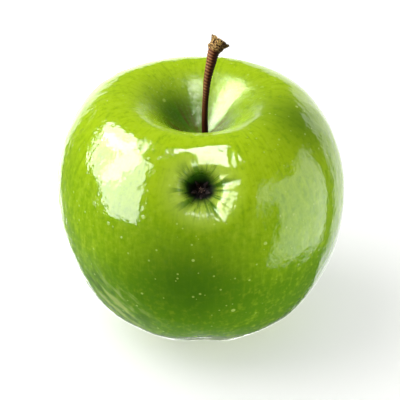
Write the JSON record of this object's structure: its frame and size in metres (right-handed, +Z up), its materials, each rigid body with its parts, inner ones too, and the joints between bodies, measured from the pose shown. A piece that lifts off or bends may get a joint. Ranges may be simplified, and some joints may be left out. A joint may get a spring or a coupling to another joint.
{
  "type": "green apple",
  "caption": "Glossy green apple standing upright on its lobed base, with a woody stem in its cavity and a dried calyx in a dimple on the front shoulder.",
  "frame": {"origin": "on the floor, at the bottom centre of the object's box, under the middle of the fruit", "axes": "+Z up along the fruit's own axis, from the base to the stem; -Y towards the calyx dimple; +X to the side the stem leans to"},
  "size_m": [0.08, 0.08, 0.0846],
  "materials": {
    "apple_skin": "waxy gloss",
    "stem_wood": "ridged bark, matt",
    "dried_calyx": "dry, matt",
    "withered_stamens": "dry, matt"
  },
  "bodies": {
    "root": {"fruit": "apple_skin", "stem": "stem_wood", "sepal_1": "dried_calyx", "sepal_2": "dried_calyx", "sepal_3": "dried_calyx", "sepal_4": "dried_calyx", "sepal_5": "dried_calyx", "stamen_tuft": "withered_stamens"}
  },
  "joints": []
}
